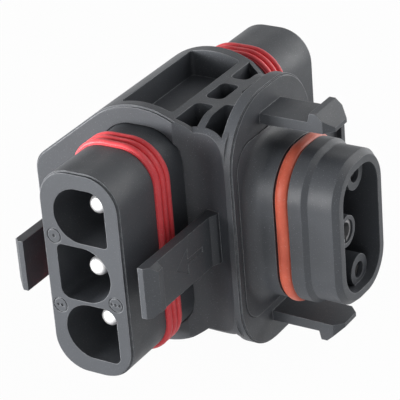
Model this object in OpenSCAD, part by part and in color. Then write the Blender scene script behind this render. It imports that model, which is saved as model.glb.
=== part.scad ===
// Sealed T splitter connector, three poles, for building wiring.
// Drawn about the point where the through axis (Y) and the branch axis (X) cross, then moved along X
// until the origin is the middle of the whole part. Z up: neutral on top, line at the bottom.
// All sizes in millimetres.

/* [View] */

/* [Body] */
// half length of the body between its end walls
body_half = 14.4; // [12:0.1:20]
// radius of the body's top and bottom rounding
body_round_r = 15.8; // [12:0.1:20]
// height of the centre of that rounding above the branch axis
body_round_z = 8.1; // [4:0.1:12]
// distance of the flat back of the body from the through axis
back_x = 24; // [20:0.1:30]
// slope of the body's shoulders
shoulder_deg = 38; // [25:1:50]
// radius where shoulder and back meet
shoulder_r = 5; // [2:0.1:8]
// bevel on the outer edges of body and flange
edge_bevel = 0.35; // [0.2:0.05:0.8]

/* [Branch Neck And Flange] */
// width of the neck under the flange
neck_w = 28.8; // [24:0.1:32]
// height of the neck under the flange
neck_h = 44.4; // [38:0.1:50]
// corner radius of the neck
neck_r = 6.4; // [5:0.1:12]
// rear face of the flange
flange_rear_x = 16.3; // [14:0.1:18]
// front face of the flange
flange_x = 18.8; // [17:0.1:22]
// width of the flange
flange_w = 29.3; // [26:0.1:34]
// height of the flange
flange_h = 50.8; // [46:0.1:56]
// corner radius of the flange
flange_r = 12.2; // [8:0.1:14]
// depth of the hollow in the end walls beside the flange
scoop_depth = 1.6; // [1:0.1:3]
// width of that hollow
scoop_w = 10; // [6:0.1:12]
// distance of that hollow from the through axis
scoop_x = 12; // [10:0.1:14]

/* [Cored Pockets] */
// large pocket: two sides along X, then two along Y
big_pocket = [-4.8, 5.9, -12.3, 12]; // [-14:0.1:14]
// row of cells next to it: both sides along X
inner_cells_x = [7.1, 10.9]; // [6:0.1:12]
// row of cells next to the flange: both sides along X
outer_cells_x = [12.4, 16.3]; // [11:0.1:17]
// middle cell of the inner row, along Y
middle_cell_y = [-3.2, 3.5]; // [-6:0.1:6]
// where the end cells of the inner row start, in front and behind
end_cell_y = [-5.6, 5.9]; // [-8:0.1:8]
// where the cells of the outer row start, in front and behind
outer_cell_y = [-4.3, 0.4]; // [-8:0.1:8]
// corner radius of the cells
cell_r = 1.2; // [0.4:0.1:1.8]
// wall between a cell and the body's end
cell_wall = 0.9; // [0.6:0.1:2]
// floor of the large pocket
pocket_floor_z = 18.3; // [17.5:0.1:20]
// floor of the small pockets between the ribs
cell_floor_z = 17.2; // [16.8:0.1:20]
// corner radius of the large pocket
pocket_r = 0.8; // [0.4:0.1:1.5]

/* [Plug Noses] */
// width of a nose
nose_w = 16.6; // [14:0.1:20]
// height of a nose
nose_h = 40.2; // [34:0.1:46]
// corner radius of a nose
nose_r = 6.6; // [4:0.1:8]
// how deep the nose's shoulder sits in the end wall
nose_sink = 0.6; // [0.3:0.1:1]
// open seam around that shoulder
nose_seam = 0.25; // [0.1:0.05:0.5]
// distance of a nose face from the branch axis
nose_face = 35; // [30:0.1:40]
// step behind the face's edge
nose_step = 0.3; // [0.1:0.05:0.6]
// length of that step
nose_step_l = 0.5; // [0.2:0.1:1]
// floor of the chambers
chamber_floor = 17.5; // [15:0.1:20]
// rear end of the insert's tail
tail_rear = 9; // [8:0.1:12]
// width of the tail
tail_w = 13.6; // [12:0.1:15]
// height of the tail
tail_h = 33.6; // [30:0.1:34]
// corner radius of the tail
tail_r = 5.3; // [3:0.1:6]

/* [Keyed Chambers] */
// neutral chamber: left, right, bottom, top
neutral_chamber = [-5.4, 5.3, 6.4, 17]; // [-18:0.1:18]
// earth chamber, which is turned round: left, right, bottom, top
earth_chamber = [-5.2, 5.6, -5.3, 5.5]; // [-18:0.1:18]
// line chamber: left, right, bottom, top
line_chamber = [-5.3, 5.6, -16.8, -5.9]; // [-18:0.1:18]
// corner radii of the neutral chamber, top and bottom
neutral_key = [3, 0.8]; // [0.5:0.1:4]
// corner radii of the earth chamber
earth_key = [1.3, 2]; // [0.5:0.1:4]
// corner radii of the line chamber
line_key = [2.5, 1.3]; // [0.5:0.1:4]

/* [Pole Marks] */
// width and depth of the marks' grooves
mark_cut = 0.22; // [0.1:0.02:0.4]
// radius of the rings
mark_r = 1.5; // [1:0.05:2]
// radius of the dots in the rings
mark_dot_r = 0.3; // [0.2:0.05:0.5]
// distance between the dots
mark_dot_pitch = 0.85; // [0.6:0.05:1.2]
// places of the rings on a nose face: neutral
neutral_mark = [-5.9, 6.9]; // [-8:0.1:8]
// line
line_mark = [-6.2, -7.1]; // [-8:0.1:8]
// earth
earth_mark = [5.8, -4.5]; // [-8:0.1:8]

/* [Nose Seals] */
// start of the seal's groove
seal_start = 18.9; // [16:0.1:20]
// width of the seal
seal_w = 4.7; // [3:0.1:6]
// depth of the groove
seal_groove = 0.9; // [0.5:0.1:1.5]
// height of the seal's band above the nose
seal_band = 0.3; // [0.1:0.05:0.6]
// height of the seal's ribs above the nose
seal_rib = 0.8; // [0.5:0.05:1.2]
// number of ribs on a seal
seal_ribs = 3; // [2:1:4]
// radius of a rib as a share of the distance between ribs
seal_rib_share = 0.42; // [0.3:0.01:0.5]

/* [Contact Pins] */
// distance between the poles
pole_pitch = 11.35; // [10:0.05:13]
// radius of a pin
pin_r = 1.8; // [1.5:0.05:2]
// radius of the shank that sits in the insert
pin_shank_r = 2.1; // [1.8:0.05:2.5]
// length of the cone between shank and pin
pin_cone = 0.5; // [0.3:0.1:1]
// distance of the pin tips from the branch axis
pin_tip = 29.7; // [26:0.1:33]
// how much further the earth pin reaches, so that earth is joined first and parted last
earth_lead = 2; // [0:0.1:3.5]
// rounding of the pin tips
pin_tip_r = 1.1; // [0.5:0.1:1.5]
// radius of the collar behind the insert
pin_collar_r = 2.6; // [2.2:0.1:3]
// radius of the spigot pressed into the busbar
spigot_r = 1.3; // [1:0.05:1.6]
// how far a spigot comes out behind the bar
spigot_end = 0.2; // [0:0.05:0.5]

/* [Latch Arms On The Through Axis] */
// inner face of an arm
arm_x = 12; // [10:0.1:14]
// thickness of an arm
arm_t = 1.9; // [1.5:0.1:2.5]
// width of an arm
arm_w = 9.9; // [8:0.1:12]
// tip of an arm
arm_tip = 36.3; // [34:0.1:40]
// thickness at the tip
arm_tip_t = 1.05; // [0.8:0.05:1.5]
// height of the hook's crest above the inner face
hook_h = 3; // [2:0.1:4]
// length of the crest
hook_crest = 1.4; // [0.5:0.1:2]
// how far the thickened root reaches along the arm
root_len = 1; // [1:0.1:4]
// how much the root is thickened
root_t = 0.7; // [0.3:0.1:1.5]
// where the root's bevel ends behind the end wall
root_end = 0.4; // [0:0.1:1]
// how far an arm reaches into the body
arm_in = 4; // [3:0.1:5]
// bevel on both ends of the hook
hook_bevel = 0.9; // [0.5:0.1:1.5]
// depth of the arrow on an arm
arrow_cut = 0.15; // [0.1:0.05:0.3]
// tip and foot of the arrow's head, and end of its shaft
arrow_y = [27.1, 23.2, 18.3]; // [16:0.1:30]
// half width of the arrow's head and of its shaft
arrow_half = [2.6, 0.5]; // [0.3:0.1:4]

/* [Latch Arms On The Branch] */
// inner face of a branch arm
branch_arm_z = 19.1; // [18:0.1:20]
// thickness at the root
branch_arm_t = 2.1; // [1.5:0.1:2.5]
// width of a branch arm
branch_arm_w = 7.7; // [6:0.1:10]
// tip of a branch arm
branch_arm_tip = 33.1; // [32:0.1:36]
// rear face of the hook
branch_hook_x = 28.5; // [28:0.1:31]
// crest of the hook
branch_hook_z = 22.9; // [22:0.1:24]
// length of the crest
branch_crest = 1.6; // [1:0.1:3]
// lean of the hook's rear face
branch_hook_lean = 0.4; // [0:0.1:1]
// underside and top of the tip above the inner face
branch_tip_z = [0.3, 1.1]; // [0.1:0.1:2]
// bevel on the tip's corners
branch_tip_bevel = 1.7; // [0.5:0.1:2.5]

/* [Branch Insert] */
// width of the insert's base
base_w = 25.7; // [22:0.1:27]
// height of the insert's base
base_h = 35.2; // [32:0.1:38]
// corner radius of the base
base_r = 4.85; // [3:0.05:7]
// depth of the base in the flange
base_t = 1.8; // [1:0.1:2.5]
// how far the base stands proud of the flange
base_proud = 0.15; // [0:0.05:0.4]
// straight part of the shroud's outline, width
core_w = 2.5; // [1:0.1:4]
// straight part of the shroud's outline, height
core_h = 13.3; // [12:0.1:16]
// outline radius of the neck in front of the base
insert_neck_r = 8.7; // [8:0.05:10]
// fillet between base and neck
insert_fillet = 2.6; // [1:0.1:4]
// outline radius of the wide band of the shroud
band_r = 8.6; // [8:0.05:10]
// outline radius of the narrow band
shroud_r = 7.8; // [7:0.05:9]
// outline radius of the rim
rim_r = 6.85; // [6:0.05:8]
// start of the wide band
band_x = 26.9; // [26:0.1:28]
// end of the wide band
band_end_x = 29.5; // [28:0.1:31]
// start of the narrow band
shroud_x = 30.5; // [29:0.1:32]
// start of the rim's bevel
rim_bevel_x = 35.2; // [34:0.1:36]
// end of the rim
rim_x = 36.3; // [34:0.1:38]
// wall of the shroud at its rim
shroud_wall = 1.4; // [1:0.1:2]
// floor inside the shroud
shroud_floor_x = 21; // [20:0.1:24]
// thickness of that floor
shroud_floor_t = 2; // [1.5:0.1:3]
// rear end of the insert's skirt
skirt_x = 13.5; // [12:0.1:15]

/* [Branch O-Ring] */
// radius of the ring's section
ring_r = 1.35; // [1:0.05:1.6]
// centre of the ring along the branch
ring_x = 25.45; // [25:0.05:27]
// outline radius of the ring's centre line
ring_path_r = 7.75; // [7:0.05:8.5]

/* [Branch Contacts] */
// height of the outer sleeves above and below the branch axis
sleeve_z = 9.7; // [8:0.1:11]
// sideways position of the outer sleeves
sleeve_y = 1.5; // [0:0.1:3]
// sideways position of the earth sleeve
earth_sleeve_y = -2.3; // [-4:0.1:0]
// outer radius of a sleeve
sleeve_r = 3; // [2.5:0.05:3.5]
// radius of a sleeve's mouth
sleeve_mouth_r = 1.6; // [1.5:0.05:2]
// end of the sleeves
sleeve_x = 34.5; // [32:0.1:36]
// thickness of a sleeve's lip
sleeve_lip = 1; // [0.6:0.1:2]
// outer radius of a socket contact
socket_r = 2.15; // [1.8:0.05:2.5]
// inner radius of a socket contact
socket_bore_r = 1.6; // [1.2:0.05:1.8]
// end of the earth socket, which mates first
earth_socket_x = 34.1; // [32:0.1:34.4]
// width of the slots in a socket
socket_slot = 0.5; // [0.3:0.1:0.8]
// length of those slots
socket_slot_l = 9; // [5:0.5:12]
// thickness of the floor in a socket
socket_floor = 1; // [0.5:0.1:2]

/* [Busbars And Carrier] */
// thickness of a busbar
bar_t = 1.2; // [0.8:0.1:2]
// half distance between the outer faces of a bar's end tabs
bar_half = 7.5; // [6:0.1:8.5]
// half width of a bar
bar_half_w = 3.5; // [2.5:0.1:4]
// reach of a bar to either side of the through axis
bar_reach = 4; // [3:0.1:5]
// half width of the tab under a socket
tap_half_w = 3; // [2:0.1:3.5]
// bend radius inside a bar
bend_r = 0.8; // [0.4:0.1:1.2]
// thickness of the carrier's spine
spine_t = 2.6; // [1.5:0.1:4]
// thickness of the carrier's shelves
shelf_t = 2.2; // [1.5:0.1:3]

/* [Clearances] */
// gap around a fitted moulding
fit_gap = 0.1; // [0.05:0.05:0.3]
// gap around a pressed metal part
press_gap = 0.05; // [0.02:0.01:0.1]

/* [Hidden] */
$fn = 64;
plastic = [0.20, 0.21, 0.23];
red = [0.80, 0.20, 0.22];
orange = [0.80, 0.32, 0.20];
silver = [0.85, 0.85, 0.86];
copper = [0.75, 0.50, 0.32];

over = 1;                                     // how far a cut runs past a face
middle_x = (back_x - rim_x) / 2;              // moves the origin to the middle of the part
shoulder_n = [-sin(shoulder_deg), cos(shoulder_deg)];
// centre of the rounding between shoulder and back, touching both
shoulder_x = -back_x + shoulder_r;
shoulder_z = body_round_z + ((body_round_r - shoulder_r) - shoulder_n[0] * shoulder_x) / shoulder_n[1];
scoop_r = (scoop_w * scoop_w / 4 + scoop_depth * scoop_depth) / (2 * scoop_depth);
tunnel_w = tail_w + 2 * fit_gap;
tunnel_h = tail_h + 2 * fit_gap;
seat_x = flange_x - base_t;
room_w = 20.8;                                // width and height of the room behind the branch insert
room_h = 31.2;
room_r = 5;
room_back_x = -22.2;
room_shoulder = [-11.4, 7.2];                 // where the room's sloped walls start and end
skirt_wall = 1.6;
fillet_inset = 0.2;                           // edge of the base that its fillet leaves flat
skirt_w = room_w - 2 * fit_gap;
skirt_h = room_h - 2 * fit_gap;
nose_core_w = nose_w - 2 * nose_r;
nose_core_h = nose_h - 2 * nose_r;
pin_seat = pin_shank_r + press_gap;           // bore that a pin's shank sits in
socket_seat_x = shroud_floor_x - shroud_floor_t;
tap_z = pole_pitch - bar_half_w;              // edge of the neutral bar that its branch tongue leaves from
shelf_z = 4;
spine_x = -bar_reach - fit_gap;

// ---------------------------------------------------------------- helpers

// Rounded rectangle about the origin.
module rr(w, h, r) {
    square([w - 2 * r, h], center = true);
    square([w, h - 2 * r], center = true);
    for (sx = [-1, 1], sy = [-1, 1])
        translate([sx * (w / 2 - r), sy * (h / 2 - r)]) circle(r);
}

// Rounded rectangle between two corners, for pockets.
module pocket(x0, x1, y0, y1, r) {
    translate([(x0 + x1) / 2, (y0 + y1) / 2]) rr(x1 - x0, y1 - y0, r);
}

// Drawing in X and Z, extruded along Y.
module along_y(y0, y1) {
    translate([0, y1, 0]) rotate([90, 0, 0]) linear_extrude(y1 - y0) children();
}

// Drawing in Y and Z, extruded along X.
module along_x(x0, x1) {
    translate([x0, 0, 0]) rotate([90, 0, 90]) linear_extrude(x1 - x0) children();
}

// Profile (distance from the core, height) swept round a rectangle of w by h with rounded corners.
module rr_sweep(w, h) {
    for (q = [0 : 3]) rotate([0, 0, 90 * q]) {
        a = q % 2 == 0 ? w : h;
        b = q % 2 == 0 ? h : w;
        translate([a / 2, b / 2, 0]) rotate([90, 0, 0]) linear_extrude(b) children();
        translate([a / 2, b / 2, 0]) rotate_extrude(angle = 90) children();
    }
}

// Frame of a plug: local Z points out of the front plug's face.
module front() { rotate([90, 0, 0]) children(); }
module back() { rotate([0, 0, 180]) front() children(); }

// Frame of the branch: local Z points out of the shroud, local X along the through axis.
module branch() { rotate([90, 0, 90]) children(); }

// ---------------------------------------------------------------- housing

// Outline of the body in X and Z, drawn in by an inset.
module body_outline(inset = 0) {
    r = body_round_r - inset;
    sr = shoulder_r - inset;
    for (s = [-1, 1]) {
        translate([0, s * body_round_z]) circle(r);
        translate([shoulder_x, s * shoulder_z]) circle(sr);
    }
    polygon([
        [r, body_round_z], [r, -body_round_z], [0, -body_round_z],
        [r * shoulder_n[0], -body_round_z - r * shoulder_n[1]],
        [shoulder_x + sr * shoulder_n[0], -shoulder_z - sr * shoulder_n[1]], [shoulder_x, -shoulder_z],
        [shoulder_x - sr, -shoulder_z], [shoulder_x - sr, shoulder_z], [shoulder_x, shoulder_z],
        [shoulder_x + sr * shoulder_n[0], shoulder_z + sr * shoulder_n[1]],
        [r * shoulder_n[0], body_round_z + r * shoulder_n[1]], [0, body_round_z]
    ]);
}

// Arm with hook beside a plug, drawn in X and Y for the front plug's right-hand side.
module arm_profile() {
    outer = arm_x + arm_t;
    ramp = hook_h - arm_tip_t;
    polygon([
        [arm_x, -body_half + arm_in], [arm_x, -arm_tip], [arm_x + arm_tip_t, -arm_tip],
        [arm_x + hook_h, -arm_tip + ramp], [arm_x + hook_h, -arm_tip + ramp + hook_crest],
        [outer, -arm_tip + ramp + hook_crest], [outer, -body_half - root_len],
        [outer + root_t, -body_half + root_end], [outer + root_t, -body_half + arm_in]
    ]);
}

// Arm beside a plug, with bevels on both ends of its hook and an arrow cut into its outer face.
module through_arm() {
    outer = arm_x + arm_t;
    difference() {
        linear_extrude(arm_w, center = true) arm_profile();
        for (m = [0, 1]) mirror([0, 0, m]) along_y(-arm_tip - over, -body_half - root_len - over)
            polygon([
                [outer, arm_w / 2 + over], [outer, arm_w / 2], [outer + hook_bevel, arm_w / 2 - hook_bevel],
                [arm_x + 2 * hook_h, arm_w / 2 - hook_bevel], [arm_x + 2 * hook_h, arm_w / 2 + over]
            ]);
        along_x(outer - arrow_cut, arm_x + 2 * hook_h) polygon([
            [-arrow_y[0], 0], [-arrow_y[1], arrow_half[0]], [-arrow_y[1], arrow_half[1]],
            [-arrow_y[2], arrow_half[1]], [-arrow_y[2], -arrow_half[1]], [-arrow_y[1], -arrow_half[1]],
            [-arrow_y[1], -arrow_half[0]]
        ]);
    }
}

// Arm with hook above the shroud, drawn in X and Z, with bevelled corners at its tip.
module branch_arm() {
    half = branch_arm_w / 2;
    intersection() {
        along_y(-half, half) polygon([
            [flange_rear_x, branch_arm_z], [branch_arm_tip, branch_arm_z + branch_tip_z[0]],
            [branch_arm_tip, branch_arm_z + branch_tip_z[1]], [branch_hook_x + branch_crest, branch_hook_z],
            [branch_hook_x + branch_hook_lean, branch_hook_z], [branch_hook_x, branch_arm_z + branch_arm_t],
            [flange_rear_x, branch_arm_z + branch_arm_t]
        ]);
        linear_extrude(branch_hook_z + over) polygon([
            [flange_rear_x, -half], [branch_arm_tip - branch_tip_bevel, -half],
            [branch_arm_tip, -half + branch_tip_bevel], [branch_arm_tip, half - branch_tip_bevel],
            [branch_arm_tip - branch_tip_bevel, half], [flange_rear_x, half]
        ]);
    }
}

// Pockets cored into the top of the housing; the bottom has the same.
module top_pockets() {
    translate([0, 0, pocket_floor_z]) linear_extrude(2 * pocket_floor_z)
        pocket(big_pocket[0], big_pocket[1], big_pocket[2], big_pocket[3], pocket_r);
    translate([0, 0, cell_floor_z]) linear_extrude(2 * cell_floor_z) difference() {
        union() {
            for (s = [-1, 1]) for (x = [inner_cells_x, outer_cells_x])
                pocket(x[0], x[1], s < 0 ? -body_half : cell_start(x, s),
                       s < 0 ? cell_start(x, s) : body_half, cell_r);
            pocket(inner_cells_x[0], inner_cells_x[1], middle_cell_y[0], middle_cell_y[1], cell_r);
        }
        // end walls in front of the cells, which follow the hollow beside the flange
        for (s = [-1, 1]) {
            translate([scoop_x, s * (body_half - scoop_depth + scoop_r), 0]) circle(scoop_r + cell_wall);
            translate([0, s * (body_half + body_half / 2 - cell_wall)])
                square([2 * flange_x, body_half], center = true);
        }
    }
}

// Where a cell starts, next to the middle of its row: s is -1 for the cell in front and 1 behind.
function cell_start(x, s) =
    x == inner_cells_x ? (s < 0 ? end_cell_y[0] : end_cell_y[1]) : (s < 0 ? outer_cell_y[0] : outer_cell_y[1]);

module housing() {
    color(plastic) difference() {
        union() {
            along_y(-body_half + edge_bevel, body_half - edge_bevel) body_outline();
            along_y(-body_half, body_half) body_outline(edge_bevel);
            along_x(0, flange_rear_x + over) rr(neck_w, neck_h, neck_r);
            along_x(flange_rear_x, flange_x - edge_bevel) rr(flange_w, flange_h, flange_r);
            along_x(flange_rear_x, flange_x)
                rr(flange_w - 2 * edge_bevel, flange_h - 2 * edge_bevel, flange_r - edge_bevel);
        }
        // hollow beside the flange, front and back
        for (s = [-1, 1])
            translate([scoop_x, s * (body_half - scoop_depth + scoop_r), 0])
                cylinder(r = scoop_r, h = 2 * flange_h, center = true);
        // tunnel for the plug inserts and room for the contacts
        along_y(-body_half - over, body_half + over) rr(tunnel_w, tunnel_h, tail_r + fit_gap);
        for (s = [0, 1]) mirror([0, s, 0]) along_y(-body_half - over, -body_half + nose_sink)
            rr(nose_w + 2 * nose_seam, nose_h + 2 * nose_seam, nose_r + nose_seam);
        along_x(0, flange_x) rr(room_w, room_h, room_r);
        along_y(-room_w / 2, room_w / 2) polygon([
            [over, room_h / 2], [room_shoulder[0], room_h / 2], [room_back_x, room_shoulder[1]],
            [room_back_x, -room_shoulder[1]], [room_shoulder[0], -room_h / 2], [over, -room_h / 2]
        ]);
        along_x(seat_x, flange_x + over)
            rr(base_w + 2 * fit_gap, base_h + 2 * fit_gap, base_r + fit_gap);
        for (m = [0, 1]) mirror([0, 0, m]) top_pockets();
    }
    color(plastic) {
        for (mx = [0, 1], my = [0, 1]) mirror([mx, 0, 0]) mirror([0, my, 0]) through_arm();
        for (m = [0, 1]) mirror([0, 0, m]) branch_arm();
    }
}

// ---------------------------------------------------------------- plug inserts

// Keyed chamber: half round on its left, square with two corner radii on its right.
module keyed_chamber(sides, key) {
    x1 = sides[1];
    z0 = sides[2];
    z1 = sides[3];
    r = (z1 - z0) / 2;
    xc = sides[0] + r;
    translate([xc, z0 + r]) intersection() {
        circle(r);
        translate([-r - over, -r - over]) square([r + over, 2 * (r + over)]);
    }
    translate([xc, z0 + key[1]]) square([x1 - xc, z1 - z0 - key[0] - key[1]]);
    translate([xc, z1 - key[0]]) square([x1 - key[0] - xc, key[0]]);
    translate([xc, z0]) square([x1 - key[1] - xc, key[1]]);
    translate([x1 - key[0], z1 - key[0]]) circle(key[0]);
    translate([x1 - key[1], z0 + key[1]]) circle(key[1]);
}

// Ring with one, two or three dots, in place of a letter.
module pole_mark(place, dots) {
    translate([place[0], place[1], nose_face - mark_cut]) linear_extrude(mark_cut + over) {
        difference() {
            circle(mark_r);
            circle(mark_r - mark_cut);
        }
        for (i = [1 : dots]) translate([(i - (dots + 1) / 2) * mark_dot_pitch, 0]) circle(mark_dot_r);
    }
}

module plug_insert() {
    shoulder = body_half - nose_sink;
    color(plastic) difference() {
        union() {
            translate([0, 0, shoulder]) linear_extrude(nose_face - shoulder - nose_step_l)
                rr(nose_w, nose_h, nose_r);
            translate([0, 0, shoulder]) linear_extrude(nose_face - shoulder)
                rr(nose_w - 2 * nose_step, nose_h - 2 * nose_step, nose_r - nose_step);
            translate([0, 0, tail_rear]) linear_extrude(body_half - tail_rear)
                rr(tail_w, tail_h, tail_r);
        }
        // groove of the seal
        translate([0, 0, seal_start - fit_gap]) difference() {
            linear_extrude(seal_w + 2 * fit_gap) rr(nose_w + over, nose_h + over, nose_r + over / 2);
            translate([0, 0, -over]) linear_extrude(seal_w + 2 * fit_gap + 2 * over)
                rr(nose_w - 2 * seal_groove, nose_h - 2 * seal_groove, nose_r - seal_groove);
        }
        // chambers: neutral, earth (turned round), line
        translate([0, 0, chamber_floor]) linear_extrude(nose_face) {
            keyed_chamber(neutral_chamber, neutral_key);
            mirror([1, 0]) keyed_chamber(earth_chamber, earth_key);
            keyed_chamber(line_chamber, line_key);
        }
        for (p = [-1 : 1]) translate([0, p * pole_pitch, 0]) cylinder(r = pin_seat, h = nose_face);
        pole_mark(neutral_mark, 1);
        pole_mark(line_mark, 2);
        pole_mark(earth_mark, 3);
    }
}

// Ring seal with ribs, swept round the nose.
module ring_seal() {
    pitch = seal_w / seal_ribs;
    rib = pitch * seal_rib_share;
    color(red) translate([0, 0, seal_start]) rr_sweep(nose_core_w, nose_core_h) {
        translate([nose_r - seal_groove, 0]) square([seal_groove + seal_band, seal_w]);
        for (i = [0 : seal_ribs - 1])
            translate([nose_r + seal_rib - rib, pitch * (i + 0.5)]) circle(rib);
    }
}

// Turned pin: rounded tip, cone, shank, collar and spigot.
module plug_pin(pole) {
    foot = chamber_floor - bar_half;
    tip = pin_tip + (pole == 0 ? earth_lead : 0) - bar_half;
    color(silver) translate([0, pole * pole_pitch, 0]) {
        translate([0, 0, bar_half]) rotate_extrude() {
            square([pin_collar_r, tail_rear - bar_half]);
            polygon([[0, 0], [pin_shank_r, 0], [pin_shank_r, foot], [pin_r, foot + pin_cone],
                     [pin_r, tip - pin_tip_r], [0, tip - pin_tip_r]]);
            square([pin_r - pin_tip_r, tip]);
            translate([pin_r - pin_tip_r, tip - pin_tip_r]) intersection() {
                circle(pin_tip_r);
                square(pin_tip_r + over);
            }
        }
        translate([0, 0, bar_half - bar_t - spigot_end])
            cylinder(r = spigot_r, h = bar_t + spigot_end + over);
    }
}

// ---------------------------------------------------------------- branch insert

// Slab of the shroud's outline with a given radius.
module outline(r) { rr(core_w + 2 * r, core_h + 2 * r, r); }

// Bevel between two outlines.
module bevel(r0, r1, z0, z1) {
    translate([0, 0, z0]) rr_sweep(core_w, core_h)
        polygon([[r1 - over, 0], [r0, 0], [r1, z1 - z0], [r1 - over, z1 - z0]]);
}

// Fillet between base and neck, kept inside the base's outline.
module base_fillet() {
    top = flange_x + base_proud;
    intersection() {
        translate([0, 0, top]) rr_sweep(core_w, core_h) difference() {
            translate([insert_neck_r - over, 0]) square([insert_fillet + over, insert_fillet]);
            translate([insert_neck_r + insert_fillet, insert_fillet]) circle(insert_fillet);
        }
        translate([0, 0, top]) linear_extrude(insert_fillet)
            rr(base_w - 2 * fillet_inset, base_h - 2 * fillet_inset, base_r - fillet_inset);
    }
}

module branch_insert() {
    ring_groove = [ring_x - ring_r - fit_gap, ring_x + ring_r + fit_gap];
    color(plastic) branch() difference() {
        union() {
            translate([0, 0, seat_x]) linear_extrude(base_t + base_proud) rr(base_w, base_h, base_r);
            translate([0, 0, skirt_x]) linear_extrude(base_t + seat_x - skirt_x)
                rr(skirt_w, skirt_h, room_r - fit_gap);
            translate([0, 0, flange_x]) linear_extrude(ring_groove[0] - flange_x)
                outline(insert_neck_r);
            base_fillet();
            translate([0, 0, flange_x]) linear_extrude(band_x - flange_x)
                outline(ring_path_r - ring_r - fit_gap);
            translate([0, 0, ring_groove[1]]) linear_extrude(band_end_x - ring_groove[1])
                outline(band_r);
            bevel(band_r, shroud_r, band_end_x, shroud_x);
            translate([0, 0, band_end_x]) linear_extrude(rim_bevel_x - band_end_x) outline(shroud_r);
            bevel(shroud_r, rim_r, rim_bevel_x, rim_x);
            translate([0, 0, rim_bevel_x]) linear_extrude(rim_x - rim_bevel_x) outline(rim_r);
        }
        // inside of the shroud, with the sleeves left standing
        difference() {
            translate([0, 0, shroud_floor_x]) linear_extrude(rim_x - shroud_floor_x + over)
                outline(rim_r - shroud_wall);
            for (p = [-1 : 1]) translate([branch_y(p), branch_z(p), 0])
                cylinder(r = sleeve_r, h = sleeve_x);
        }
        // hollow behind the floor
        translate([0, 0, skirt_x - over]) linear_extrude(socket_seat_x - skirt_x + over)
            rr(skirt_w - 2 * skirt_wall, skirt_h - 2 * skirt_wall, room_r - skirt_wall);
        // sleeve bores; the earth sleeve is open to its end
        for (p = [-1 : 1]) translate([branch_y(p), branch_z(p), 0]) {
            cylinder(r = sleeve_mouth_r, h = sleeve_x + over);
            cylinder(r = socket_r + fit_gap, h = p == 0 ? sleeve_x + over : sleeve_x - sleeve_lip);
        }
    }
}

function branch_y(p) = p == 0 ? earth_sleeve_y : sleeve_y;
function branch_z(p) = p * sleeve_z;

module branch_o_ring() {
    color(orange) branch() translate([0, 0, ring_x]) rr_sweep(core_w, core_h)
        translate([ring_path_r, 0]) circle(ring_r);
}

// Socket contact: slotted tube, collar and spigot.
module branch_socket(pole) {
    end_x = pole == 0 ? earth_socket_x : sleeve_x - sleeve_lip - fit_gap;
    color(silver) branch() translate([branch_y(pole), branch_z(pole), 0]) {
        difference() {
            union() {
                translate([0, 0, seat_x]) cylinder(r = socket_r, h = end_x - seat_x);
                translate([0, 0, seat_x]) cylinder(r = pin_collar_r, h = socket_seat_x - seat_x);
            }
            translate([0, 0, socket_seat_x + socket_floor]) cylinder(r = socket_bore_r, h = end_x);
            translate([-socket_slot / 2, -2 * socket_r, end_x - socket_slot_l])
                cube([socket_slot, 4 * socket_r, socket_slot_l + over]);
        }
        translate([0, 0, seat_x - bar_t - spigot_end])
            cylinder(r = spigot_r, h = bar_t + spigot_end + over);
    }
}

// ---------------------------------------------------------------- busbars and carrier

// U of flat stock with a tab behind each plug, drawn in X and Y.
module bar_profile() {
    difference() {
        translate([-bar_reach, -bar_half]) square([2 * bar_reach, 2 * bar_half]);
        translate([-bar_reach + bar_t + bend_r, -bar_half + bar_t])
            square([2 * bar_reach, 2 * (bar_half - bar_t)]);
        translate([-bar_reach + bar_t, -bar_half + bar_t + bend_r])
            square([2 * bar_reach, 2 * (bar_half - bar_t - bend_r)]);
        for (s = [-1, 1]) translate([-bar_reach + bar_t + bend_r, s * (bar_half - bar_t - bend_r)])
            circle(bend_r);
    }
}

// Bar of one pole: the U, a tongue to the branch and a tab under the socket.
module busbar(pole) {
    side = pole < 0 ? -1 : 1;
    color(copper) difference() {
        union() {
            translate([0, 0, pole * pole_pitch]) linear_extrude(2 * bar_half_w, center = true)
                bar_profile();
            // tongue and tab, on the side of the bar next to the branch axis
            translate([0, 0, pole == 0 ? 0 : side * (tap_z + bar_half_w)]) mirror([0, 0, side < 0 ? 1 : 0])
                translate([0, branch_y(pole) - tap_half_w, -bar_half_w]) {
                    translate([-bar_reach, 0, 0]) cube([seat_x + bar_reach, 2 * tap_half_w, bar_t]);
                    translate([seat_x - bar_t, 0, 0])
                        cube([bar_t, 2 * tap_half_w, bar_half_w - bar_half_w * abs(pole) + tab_top(pole)]);
                }
        }
        translate([0, 0, pole * pole_pitch]) rotate([90, 0, 0])
            cylinder(r = spigot_r + press_gap, h = 4 * bar_half, center = true);
        branch() translate([branch_y(pole), branch_z(pole), 0])
            cylinder(r = spigot_r + press_gap, h = 2 * seat_x);
    }
}

// Height of the tab under a socket above the lower face of its tongue.
function tab_top(p) = p == 0 ? tap_half_w : sleeve_z - tap_z + tap_half_w;

// Insulating comb that holds the bars apart.
module contact_carrier() {
    half = tail_rear - 2 * fit_gap;
    color(plastic) {
        translate([spine_x - spine_t, -half, -room_h / 2 + fit_gap])
            cube([spine_t, 2 * half, room_h - 2 * fit_gap]);
        for (s = [-1, 1]) translate([spine_x - spine_t, -half, s * (shelf_z + shelf_t / 2) - shelf_t / 2])
            cube([skirt_x - spine_x + spine_t - fit_gap, 2 * half, shelf_t]);
    }
}

// ---------------------------------------------------------------- nodes

// Puts a node in its place, in the frame whose origin is the middle of the part.
module place(name) {
    translate([middle_x, 0, 0]) children();
}

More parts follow.
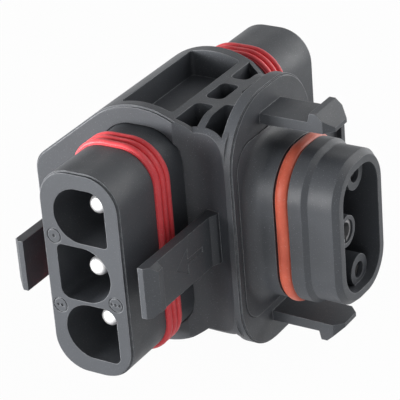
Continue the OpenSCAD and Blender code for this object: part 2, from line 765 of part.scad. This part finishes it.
place("housing") housing();
place("front_insert") front() plug_insert();
place("back_insert") back() plug_insert();
place("branch_insert") branch_insert();
place("front_seal") front() ring_seal();
place("back_seal") back() ring_seal();
place("branch_o_ring") branch_o_ring();
place("contact_carrier") contact_carrier();
place("front_pin_n") front() plug_pin(1);
place("front_pin_earth") front() plug_pin(0);
place("front_pin_l") front() plug_pin(-1);
place("back_pin_n") back() plug_pin(1);
place("back_pin_earth") back() plug_pin(0);
place("back_pin_l") back() plug_pin(-1);
place("busbar_n") busbar(1);
place("busbar_earth") busbar(0);
place("busbar_l") busbar(-1);
place("branch_socket_n") branch_socket(1);
place("branch_socket_earth") branch_socket(0);
place("branch_socket_l") branch_socket(-1);
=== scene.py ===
"""Looks of the sealed T splitter: finishes on the CAD parts, studio and camera."""

import logging
import math
from dataclasses import dataclass, field
from enum import Enum
from typing import Iterable

import bpy
from mathutils import Matrix, Vector


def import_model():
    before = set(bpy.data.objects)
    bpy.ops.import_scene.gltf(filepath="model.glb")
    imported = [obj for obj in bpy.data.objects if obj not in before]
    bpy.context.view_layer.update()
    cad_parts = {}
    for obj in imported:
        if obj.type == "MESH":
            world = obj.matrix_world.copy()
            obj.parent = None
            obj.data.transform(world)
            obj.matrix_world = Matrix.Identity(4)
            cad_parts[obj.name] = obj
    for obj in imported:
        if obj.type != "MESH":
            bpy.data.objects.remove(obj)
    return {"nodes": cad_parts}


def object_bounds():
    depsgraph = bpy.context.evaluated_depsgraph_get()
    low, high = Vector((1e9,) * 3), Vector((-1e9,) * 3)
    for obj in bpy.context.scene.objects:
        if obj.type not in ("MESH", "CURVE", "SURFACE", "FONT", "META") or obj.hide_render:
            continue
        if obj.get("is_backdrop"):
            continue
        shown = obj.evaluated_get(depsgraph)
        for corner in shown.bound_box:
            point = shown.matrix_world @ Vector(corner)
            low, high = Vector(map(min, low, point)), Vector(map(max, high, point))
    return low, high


log = logging.getLogger("splitter")

Colour = tuple[float, float, float]
Span = tuple[float, float]
MM = 0.001
WHITE = (1.0, 1.0, 1.0, 1.0)
FULL = (0.0, 1.0)


class Pole(Enum):
    """The three poles, by the ending of their nodes' names."""

    NEUTRAL = "n"
    EARTH = "earth"
    LINE = "l"


class End(Enum):
    """The two in-line plugs, by the start of their nodes' names."""

    FRONT = "front"
    BACK = "back"


class NodeTree:
    """Thin helper that adds shader nodes and joins them by name."""

    def __init__(self, tree: bpy.types.NodeTree) -> None:
        """Starts from an empty tree.

        Args:
            tree: The material's or world's node tree.
        """
        self.tree = tree
        tree.nodes.clear()

    def add(self, kind: str, inputs: dict | None = None, **settings: object) -> bpy.types.Node:
        """Adds one node.

        Args:
            kind: Node type without its ShaderNode prefix.
            inputs: Socket values or the sockets that feed them, by name or index.
            settings: Attributes set on the node itself.

        Returns:
            The new node.
        """
        node = self.tree.nodes.new(f"ShaderNode{kind}")
        for name, value in settings.items():
            setattr(node, name, value)
        for name, value in (inputs or {}).items():
            if isinstance(value, bpy.types.NodeSocket):
                self.tree.links.new(value, node.inputs[name])
            else:
                node.inputs[name].default_value = value
        return node

    def math(self, operation: str, *values: object, clamp: bool = False) -> bpy.types.NodeSocket:
        """Adds a Math node and returns its result.

        Args:
            operation: Blender's name of the operation.
            values: Numbers or sockets, in order.
            clamp: Whether the result is held between 0 and 1.

        Returns:
            The node's output socket.
        """
        return self.add("Math", dict(enumerate(values)), operation=operation, use_clamp=clamp).outputs[0]

    def remap(self, value: object, source: Span, result: Span) -> bpy.types.NodeSocket:
        """Maps a value from one range to another, held at the ends.

        Args:
            value: The socket to map.
            source: Start and end of the range it comes from.
            result: What the start and the end become.

        Returns:
            The mapped value's socket.
        """
        inputs = {"Value": value, "From Min": source[0], "From Max": source[1],
                  "To Min": result[0], "To Max": result[1]}
        return self.add("MapRange", inputs).outputs[0]

    def noise(self, where: object, scale: float, detail: float = 3.0) -> bpy.types.NodeSocket:
        """Adds a noise texture.

        Args:
            where: Coordinate socket.
            scale: Features per metre.
            detail: Number of octaves.

        Returns:
            The noise value's socket, about 0.5 on average.
        """
        inputs = {"Vector": where, "Scale": scale, "Detail": detail, "Roughness": 0.55}
        return self.add("TexNoise", inputs).outputs["Fac"]

    def blend(self, factor: object, first: object, second: object) -> bpy.types.NodeSocket:
        """Mixes two colours.

        Args:
            factor: 0 gives the first colour and 1 the second.
            first: Colour or socket.
            second: Colour or socket.

        Returns:
            The mixed colour's socket.
        """
        node = self.add("Mix", data_type="RGBA")
        for index, value in ((0, factor), (6, first), (7, second)):
            if isinstance(value, bpy.types.NodeSocket):
                self.tree.links.new(value, node.inputs[index])
            else:
                node.inputs[index].default_value = value if index == 0 else (*value, 1.0)
        return node.outputs[2]


@dataclass(frozen=True)
class Finish:
    """What every finish has: a name and how a material is made of it."""

    name: str

    def build(self, nodes: NodeTree, where: bpy.types.NodeSocket) -> bpy.types.Node:
        """Adds the shader; each finish has its own.

        Args:
            nodes: The material's tree.
            where: Object coordinates.

        Returns:
            The shader node whose first output is the surface.
        """
        raise NotImplementedError

    def material(self) -> bpy.types.Material:
        """Makes the finish's material, or returns it if it's there."""
        found = bpy.data.materials.get(self.name)
        if found is not None:
            return found
        made = bpy.data.materials.new(self.name)
        made.use_nodes = True
        nodes = NodeTree(made.node_tree)
        where = nodes.add("TexCoord").outputs["Object"]
        shader = self.build(nodes, where)
        nodes.add("OutputMaterial", {"Surface": shader.outputs[0]})
        return made

    def dress(self, piece: bpy.types.Object) -> None:
        """Gives a piece this finish.

        Args:
            piece: The mesh object.
        """
        piece.data.materials.clear()
        piece.data.materials.append(self.material())


@dataclass(frozen=True)
class MouldedPlastic(Finish):
    """Satin, glass-filled plastic: fine grain, cloudy gloss and edges painted paler, partly as wear from
    rubbing and partly as a painted edge highlight.

    Scales are features per metre. The edge cosines are those of the bend of the surface
    at which the paler edge, wear and painted highlight, starts and at which it is full.
    """

    colour: Colour
    # pale colour of the flecks and of the edges, which stand for wear and for a painted highlight
    pale_wear_and_highlight: Colour
    roughness: float = 0.53
    gloss_spread: Span = (-0.05, 0.06)
    gloss_scale: float = 260.0
    edge_radius: float = 0.22 * MM
    edge_cosines: Span = (0.985, 0.84)
    rub_and_highlight_scale: float = 900.0
    rub_and_highlight_share: float = 0.78
    cloud_scale: float = 95.0
    cloud_shade: float = 0.86
    fleck_scale: float = 5200.0
    fleck_share: float = 0.35
    grain_scale: float = 7000.0
    grain_height: float = 0.006 * MM

    def build(self, nodes: NodeTree, where: bpy.types.NodeSocket) -> bpy.types.Node:
        """Adds the plastic's shader: rounded edge normals under a fine grain bump."""
        rounded = nodes.add("Bevel", {"Radius": self.edge_radius}, samples=8).outputs[0]
        # paler edges: partly wear from rubbing, partly a painted highlight where light would catch the
        # rounded edges
        rubbed_and_highlit = nodes.math("MULTIPLY", self.edges(nodes, rounded), self.patches(nodes, where))
        cloud = nodes.remap(nodes.noise(where, self.cloud_scale, detail=4.0), (0.35, 0.65), FULL)
        dark = tuple(channel * self.cloud_shade for channel in self.colour)
        fleck = nodes.remap(nodes.noise(where, self.fleck_scale, detail=1.0), (0.66, 0.74),
                            (0.0, self.fleck_share))
        base = nodes.blend(fleck, nodes.blend(cloud, dark, self.colour), self.pale_wear_and_highlight)
        # edges take the pale colour, as wear and as a painted edge highlight
        base = nodes.blend(nodes.math("MULTIPLY", rubbed_and_highlit, self.rub_and_highlight_share), base, self.pale_wear_and_highlight)
        low, high = self.gloss_spread
        gloss = nodes.remap(nodes.noise(where, self.gloss_scale, detail=5.0), (0.3, 0.7),
                            (self.roughness + low, self.roughness + high))
        grain = nodes.noise(where, self.grain_scale, detail=2.0)
        bump = nodes.add("Bump", {"Height": grain, "Distance": self.grain_height, "Strength": 0.6,
                                  "Normal": rounded})
        return nodes.add("BsdfPrincipled", {"Base Color": base, "Roughness": gloss,
                                            "Normal": bump.outputs[0], "IOR": 1.5})

    def edges(self, nodes: NodeTree, rounded: bpy.types.NodeSocket) -> bpy.types.NodeSocket:
        """Gives 1 where the rounded normal departs from the surface's own, and 0 on flat ground.

        Args:
            nodes: The material's tree.
            rounded: The rounded normal.

        Returns:
            The edge mask's socket.
        """
        flat = nodes.add("NewGeometry").outputs["Normal"]
        same = nodes.add("VectorMath", {0: rounded, 1: flat}, operation="DOT_PRODUCT").outputs["Value"]
        return nodes.remap(same, self.edge_cosines, FULL)

    def patches(self, nodes: NodeTree, where: bpy.types.NodeSocket) -> bpy.types.NodeSocket:
        """Makes the paler edge, wear and painted highlight, uneven along an edge."""
        return nodes.remap(nodes.noise(where, self.rub_and_highlight_scale), (0.38, 0.62), (0.40, 1.0))


@dataclass(frozen=True)
class SealRubber(Finish):
    """Silicone rubber: soft sheen, faint cloudiness and a little pale bloom."""

    colour: Colour
    shade: Colour
    bloom: Colour = (0.92, 0.78, 0.76)
    bloom_share: float = 0.16
    roughness: float = 0.42
    gloss_spread: Span = (0.06, -0.04)
    cloud_scale: float = 240.0
    bloom_scale: float = 2600.0
    skin_scale: float = 3600.0
    skin_height: float = 0.008 * MM

    def build(self, nodes: NodeTree, where: bpy.types.NodeSocket) -> bpy.types.Node:
        """Adds the rubber's shader."""
        cloud = nodes.remap(nodes.noise(where, self.cloud_scale, detail=4.0), (0.35, 0.65), FULL)
        bloom = nodes.remap(nodes.noise(where, self.bloom_scale, detail=2.0), (0.62, 0.74),
                            (0.0, self.bloom_share))
        base = nodes.blend(bloom, nodes.blend(cloud, self.shade, self.colour), self.bloom)
        skin = nodes.noise(where, self.skin_scale)
        bump = nodes.add("Bump", {"Height": skin, "Distance": self.skin_height, "Strength": 0.5})
        first, last = self.gloss_spread
        gloss = nodes.remap(cloud, FULL, (self.roughness + first, self.roughness + last))
        return nodes.add("BsdfPrincipled", {"Base Color": base, "Roughness": gloss,
                                            "Normal": bump.outputs[0], "IOR": 1.43,
                                            "Sheen Weight": 0.12, "Sheen Roughness": 0.4})


@dataclass(frozen=True)
class PlatedMetal(Finish):
    """Turned and plated metal: rings of fine tool marks round one axis, faint tarnish."""

    colour: Colour
    tarnish: Colour
    axis: int
    roughness: float
    dulling: float = 0.14
    stain: Span = (0.0, 0.5)
    stain_scale: float = 700.0
    mark_pitch: float = 0.09 * MM
    mark_height: float = 0.002 * MM

    def build(self, nodes: NodeTree, where: bpy.types.NodeSocket) -> bpy.types.Node:
        """Adds the metal's shader: a sine of the distance along the axis is the tool mark."""
        along = nodes.add("SeparateXYZ", {0: where}).outputs[self.axis]
        turns = nodes.math("SINE", nodes.math("MULTIPLY", along, 2 * math.pi / self.mark_pitch))
        stain = nodes.remap(nodes.noise(where, self.stain_scale, detail=5.0), (0.42, 0.7), self.stain)
        base = nodes.blend(stain, self.colour, self.tarnish)
        gloss = nodes.remap(stain, self.stain, (self.roughness, self.roughness + self.dulling))
        bump = nodes.add("Bump", {"Height": turns, "Distance": self.mark_height, "Strength": 0.5})
        return nodes.add("BsdfPrincipled", {"Base Color": base, "Metallic": 1.0, "Roughness": gloss,
                                            "Normal": bump.outputs[0]})


@dataclass(frozen=True)
class RolledCopper(Finish):
    """Stamped copper alloy strip: rolling lines along the strip and browned patches."""

    colour: Colour
    browned: Colour
    browning: Span = (0.0, 0.7)
    roughness: float = 0.33
    gloss_spread: Span = (-0.06, 0.1)
    line_scales: tuple[float, float, float] = (9000.0, 260.0, 9000.0)
    line_height: float = 0.004 * MM
    patch_scale: float = 420.0

    def build(self, nodes: NodeTree, where: bpy.types.NodeSocket) -> bpy.types.Node:
        """Adds the strip's shader: noise stretched along the strip makes the rolling lines."""
        drawn = nodes.add("Mapping", {"Vector": where, "Scale": self.line_scales}).outputs[0]
        lines = nodes.noise(drawn, 1.0, detail=2.0)
        patch = nodes.remap(nodes.noise(where, self.patch_scale, detail=5.0), (0.4, 0.7), self.browning)
        base = nodes.blend(patch, self.colour, self.browned)
        low, high = self.gloss_spread
        gloss = nodes.remap(lines, (0.3, 0.7), (self.roughness + low, self.roughness + high))
        bump = nodes.add("Bump", {"Height": lines, "Distance": self.line_height, "Strength": 0.5})
        return nodes.add("BsdfPrincipled", {"Base Color": base, "Metallic": 1.0, "Roughness": gloss,
                                            "Normal": bump.outputs[0]})


# second colour of each plastic: pale flecks and edges, partly wear, partly a painted edge highlight
BLACK = MouldedPlastic("satin_black_plastic", (0.054, 0.059, 0.068), (0.30, 0.31, 0.33))
INNER_BLACK = MouldedPlastic("inner_black_plastic", (0.050, 0.053, 0.058), (0.12, 0.12, 0.13),
                             roughness=0.5)
RED = SealRubber("red_seal_rubber", (0.93, 0.092, 0.108), (0.83, 0.068, 0.084))
ORANGE = SealRubber("orange_ring_rubber", (0.72, 0.145, 0.085), (0.60, 0.110, 0.062))
PIN_METAL = PlatedMetal("plated_pin", (0.94, 0.94, 0.95), (0.74, 0.73, 0.70), axis=1, roughness=0.56)
SOCKET_METAL = PlatedMetal("dull_socket", (0.34, 0.34, 0.35), (0.22, 0.22, 0.21), axis=0,
                           roughness=0.50)
COPPER = RolledCopper("rolled_copper", (0.80, 0.42, 0.27), (0.42, 0.20, 0.12))


@dataclass
class SubAssembly:
    """A group of CAD nodes that belong together and the finish of each."""

    nodes: dict[str, bpy.types.Object]
    finishes: dict[str, Finish] = field(default_factory=dict)

    def dress(self) -> None:
        """Gives each node its finish."""
        for name, finish in self.finishes.items():
            finish.dress(self.nodes[name])
            log.info("dressed %s in %s", name, finish.name)


@dataclass
class Body(SubAssembly):
    """The housing with its pockets, flange and latch arms."""

    def __post_init__(self) -> None:
        """Chooses the housing's finish."""
        self.finishes = {"housing": BLACK}


@dataclass
class PlugEnd(SubAssembly):
    """One in-line plug: insert, ring seal and three pins."""

    end: End = End.FRONT

    def __post_init__(self) -> None:
        """Chooses the plug's finishes."""
        side = self.end.value
        self.finishes = {f"{side}_insert": BLACK, f"{side}_seal": RED}
        self.finishes.update({f"{side}_pin_{pole.value}": PIN_METAL for pole in Pole})


@dataclass
class BranchEnd(SubAssembly):
    """The branch plug: insert with shroud and sleeves, ring and sockets."""

    def __post_init__(self) -> None:
        """Chooses the branch's finishes."""
        self.finishes = {"branch_insert": BLACK, "branch_o_ring": ORANGE}
        self.finishes.update({f"branch_socket_{pole.value}": SOCKET_METAL for pole in Pole})


@dataclass
class Inside(SubAssembly):
    """Busbars and the carrier that holds them apart."""

    def __post_init__(self) -> None:
        """Chooses the inner pieces' finishes."""
        self.finishes = {"contact_carrier": INNER_BLACK}
        self.finishes.update({f"busbar_{pole.value}": COPPER for pole in Pole})


def bearing(azimuth: float, elevation: float) -> Vector:
    """Gives the direction from the object at two angles.

    Args:
        azimuth: Radians round the object, from -Y towards +X.
        elevation: Radians above the horizon.

    Returns:
        The direction, of length 1.
    """
    return Vector((math.sin(azimuth) * math.cos(elevation), -math.cos(azimuth) * math.cos(elevation),
                   math.sin(elevation)))


def placed(name: str, data: bpy.types.ID) -> bpy.types.Object:
    """Makes an object of its data and puts it in the scene.

    Args:
        name: The object's name.
        data: Its mesh, light or camera.

    Returns:
        The object.
    """
    thing = bpy.data.objects.new(name, data)
    bpy.context.scene.collection.objects.link(thing)
    return thing


@dataclass(frozen=True)
class SoftBox:
    """An area light that faces the object, with its angles in degrees."""

    name: str
    azimuth: float
    elevation: float
    size: tuple[float, float]
    power: float
    distance: float = 0.60

    def build(self, target: Vector) -> None:
        """Adds the light.

        Args:
            target: The point it faces.
        """
        lamp = bpy.data.lights.new(self.name, "AREA")
        lamp.shape = "RECTANGLE"
        lamp.size, lamp.size_y = self.size
        lamp.energy = self.power
        thing = placed(self.name, lamp)
        back = bearing(math.radians(self.azimuth), math.radians(self.elevation))
        thing.location = target + back * self.distance
        thing.rotation_mode = "QUATERNION"
        thing.rotation_quaternion = (-back).to_track_quat("-Z", "Y")


@dataclass(frozen=True)
class Camera:
    """A long lens that looks at a point, turned and rolled, its angles in degrees."""

    azimuth: float = 33.02
    elevation: float = 26.94
    roll: float = -4.75
    distance: float = 405.30 * MM
    aside: float = 2.09 * MM
    above: float = -1.455 * MM
    focal_mm: float = 194.96
    sensor_mm: float = 36.0
    clip: Span = (0.01, 10.0)
    aim: tuple[float, float, float] = (-6.15 * MM, 0.0, 0.0)

    def build(self) -> None:
        """Adds the camera and makes it the scene's own."""
        azimuth, elevation, roll = map(math.radians, (self.azimuth, self.elevation, self.roll))
        back = bearing(azimuth, elevation)
        level = Vector((math.cos(azimuth), math.sin(azimuth), 0.0))
        upright = back.cross(level)
        right = math.cos(roll) * level + math.sin(roll) * upright
        up = -math.sin(roll) * level + math.cos(roll) * upright
        lens = bpy.data.cameras.new("camera")
        lens.sensor_width, lens.lens = self.sensor_mm, self.focal_mm
        lens.clip_start, lens.clip_end = self.clip
        thing = placed("camera", lens)
        place = Vector(self.aim) + back * self.distance + right * self.aside + up * self.above
        thing.matrix_world = Matrix((
            (right.x, up.x, back.x, place.x),
            (right.y, up.y, back.y, place.y),
            (right.z, up.z, back.z, place.z),
            (0.0, 0.0, 0.0, 1.0),
        ))
        bpy.context.scene.camera = thing


@dataclass
class Studio:
    """Pale floor, white surroundings, soft boxes and the camera."""

    lowest: float
    target: Vector
    boxes: tuple[SoftBox, ...] = (
        SoftBox("key", -41.0, 3.0, (0.68, 0.20), 8.9),
        SoftBox("fill", 15.0, 8.0, (0.50, 0.26), 0.80),
        SoftBox("side", 130.0, 34.0, (0.50, 0.40), 1.15),
        SoftBox("low", 148.0, 4.0, (0.40, 0.30), 1.20),
        SoftBox("rear", 165.0, 8.0, (0.50, 0.30), 0.80),
    )
    ambient: float = 0.06
    floor_white: float = 0.97
    floor_tone: Colour = (0.86, 0.86, 0.86)
    floor_half: float = 1.2

    @staticmethod
    def seen(nodes: NodeTree) -> bpy.types.NodeSocket:
        """Gives 1 on the rays that show a surface, by sight, in a gloss or through glass, and 0 on the rest.

        Args:
            nodes: The tree that needs it.

        Returns:
            The socket.
        """
        path = nodes.add("LightPath")
        direct = nodes.math("MAXIMUM", path.outputs["Is Camera Ray"], path.outputs["Is Transmission Ray"])
        return nodes.math("MAXIMUM", direct, path.outputs["Is Glossy Ray"])

    def surroundings(self) -> None:
        """Makes the world white where it is seen and dimmer where it only lights."""
        world = bpy.data.worlds.new("studio")
        bpy.context.scene.world = world
        world.use_nodes = True
        nodes = NodeTree(world.node_tree)
        strength = nodes.remap(self.seen(nodes), FULL, (self.ambient, 1.0))
        light = nodes.add("Background", {"Color": WHITE, "Strength": strength})
        nodes.add("OutputWorld", {"Surface": light.outputs[0]})

    def floor(self) -> None:
        """Lays a pale floor just under the lowest point, seen as white where nothing shades it."""
        half, z = self.floor_half, self.lowest
        corner_points = [(-half, -half, z), (half, -half, z), (half, half, z), (-half, half, z)]
        mesh = bpy.data.meshes.new("floor")
        mesh.from_pydata(corner_points, [], [(0, 1, 2, 3)])
        thing = placed("floor", mesh)
        paint = bpy.data.materials.new("pale_floor")
        paint.use_nodes = True
        nodes = NodeTree(paint.node_tree)
        matte = nodes.add("BsdfDiffuse", {"Color": (*self.floor_tone, 1.0)})
        glow = nodes.add("Emission", {"Color": WHITE, "Strength": 1.0})
        share = nodes.math("MULTIPLY", self.seen(nodes), self.floor_white)
        mix = nodes.add("MixShader", {0: share, 1: matte.outputs[0], 2: glow.outputs[0]})
        nodes.add("OutputMaterial", {"Surface": mix.outputs[0]})
        mesh.materials.append(paint)
        thing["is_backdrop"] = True

    def build(self) -> None:
        """Sets up surroundings, floor, lights and camera."""
        self.surroundings()
        self.floor()
        for box in self.boxes:
            box.build(self.target)
        Camera().build()
        bpy.context.scene.view_settings.view_transform = "Standard"


def main() -> None:
    """Loads the frame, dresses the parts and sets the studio."""
    logging.basicConfig(level=logging.INFO, format="%(name)s: %(message)s")
    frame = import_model()
    cad_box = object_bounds()
    nodes = frame["nodes"]
    assemblies = (Body(nodes), PlugEnd(nodes, end=End.FRONT), PlugEnd(nodes, end=End.BACK),
                  BranchEnd(nodes), Inside(nodes))
    for assembly in assemblies:
        assembly.dress()
    low, high = cad_box
    Studio(lowest=low.z, target=(low + high) / 2).build()


if __name__ == "__main__":
    main()
